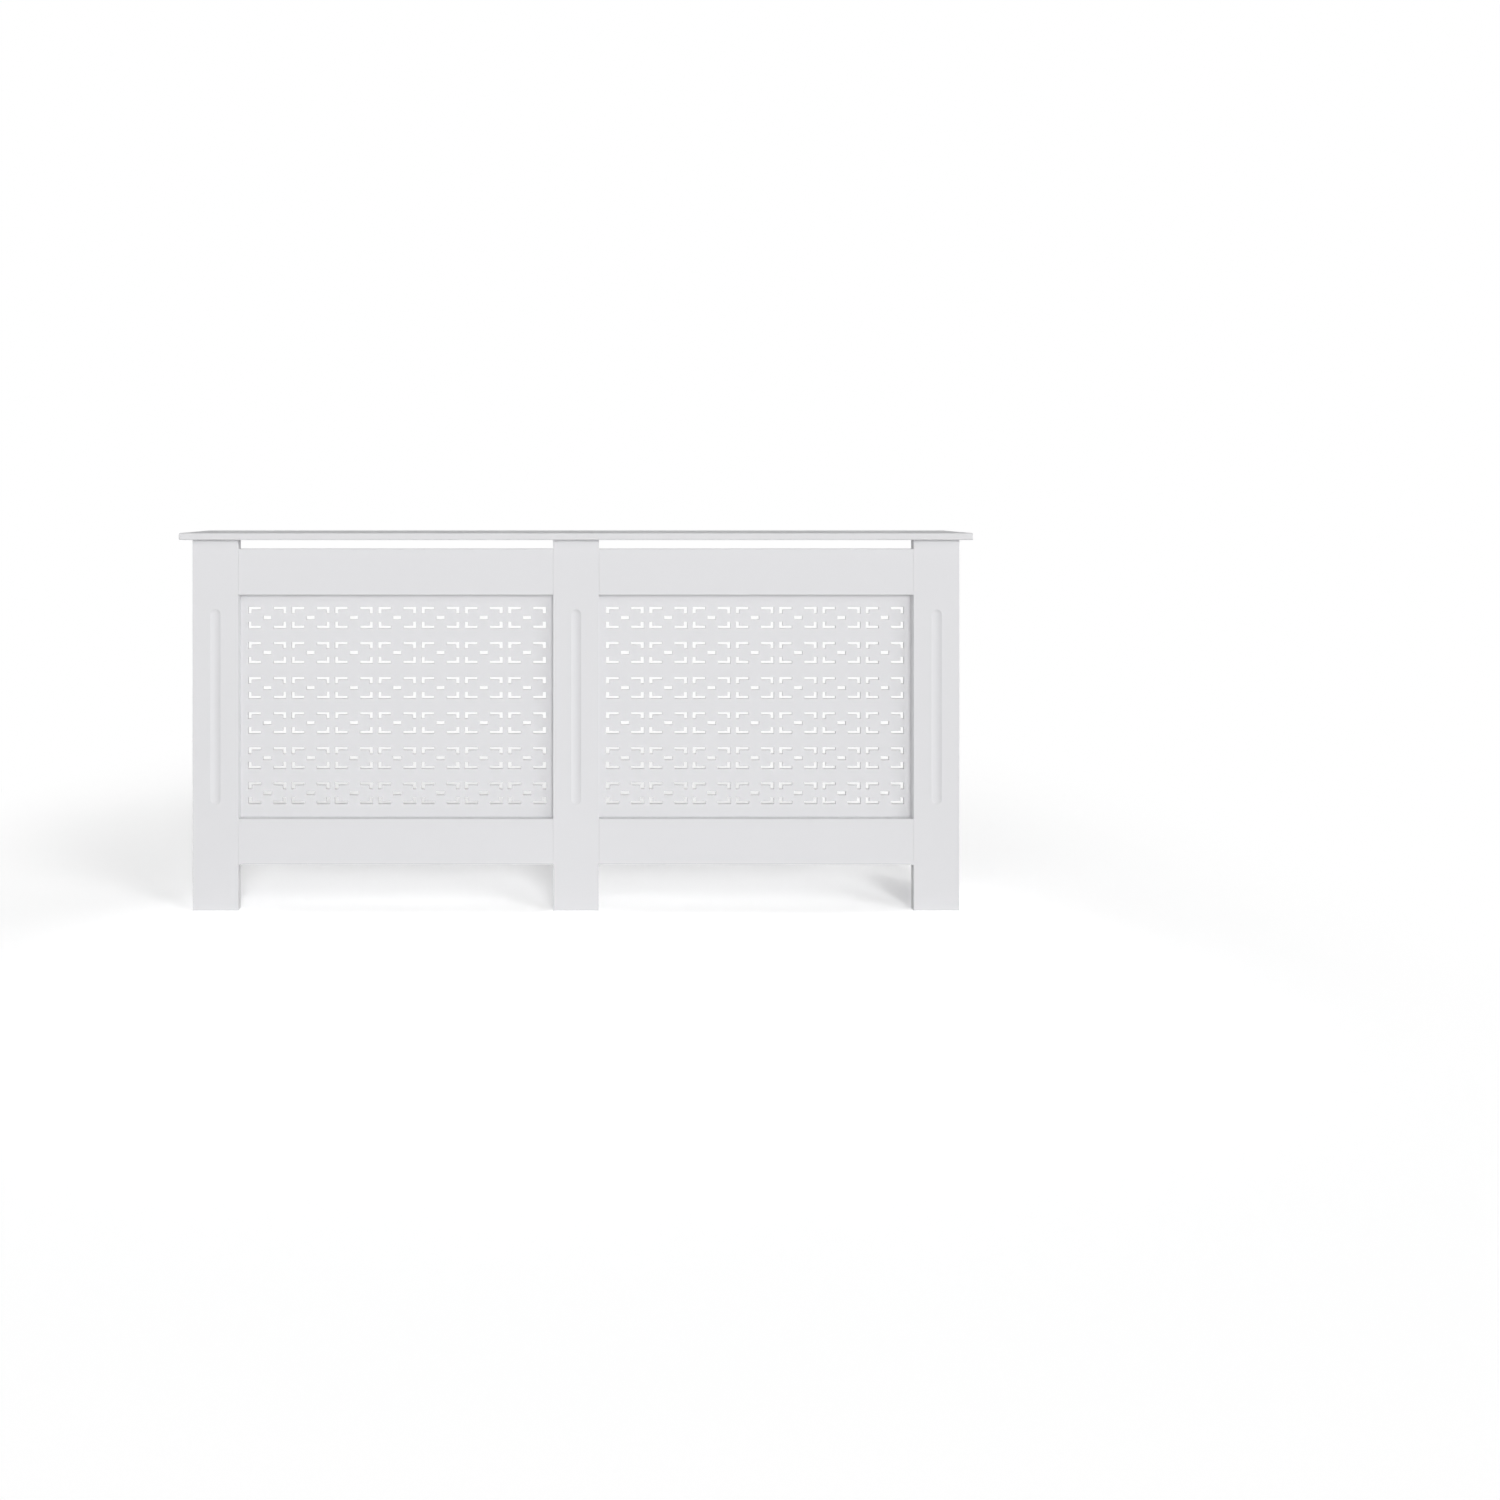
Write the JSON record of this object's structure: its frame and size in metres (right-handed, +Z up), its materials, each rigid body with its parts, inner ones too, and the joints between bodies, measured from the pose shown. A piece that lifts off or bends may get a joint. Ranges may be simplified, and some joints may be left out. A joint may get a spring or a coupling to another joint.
{
  "type": "radiator cover cabinet",
  "caption": "Low painted cabinet that covers a wall radiator: fretwork grilles between fluted posts, an overhanging shelf top, and an open back.",
  "frame": {"origin": "middle of the width and of the depth, on the floor", "axes": "+X to the right as seen from the room, +Y towards the wall, +Z up"},
  "size_m": [1.72, 0.19, 0.823],
  "materials": {
    "painted_board": "satin white paint on fibreboard",
    "painted_grille": "satin white paint on thin fibreboard",
    "beech_dowel": "bare beech",
    "cast_zinc": "cast zinc, dull",
    "zinc_plated_steel": "bright zinc plate"
  },
  "bodies": {
    "root": {"shelf_left": "painted_board", "shelf_right": "painted_board", "post_left": "painted_board", "post_centre": "painted_board", "post_right": "painted_board", "top_rail_left": "painted_board", "top_rail_right": "painted_board", "bottom_rail_left": "painted_board", "bottom_rail_right": "painted_board", "grille_left": "painted_grille", "grille_right": "painted_grille", "side_panel_left": "painted_board", "side_panel_right": "painted_board", "rail_dowels": "beech_dowel", "rail_cam_bolts": "zinc_plated_steel", "rail_cams": "cast_zinc", "side_panel_dowels": "beech_dowel", "side_panel_cam_bolts": "zinc_plated_steel", "side_panel_cams": "cast_zinc", "shelf_dowels": "beech_dowel", "shelf_cam_bolts": "zinc_plated_steel", "shelf_cams": "cast_zinc", "seam_dowels": "beech_dowel", "seam_plates": "zinc_plated_steel", "seam_plate_screws": "zinc_plated_steel", "grille_screws": "zinc_plated_steel", "wall_brackets": "zinc_plated_steel", "bracket_screws": "zinc_plated_steel"}
  },
  "joints": []
}
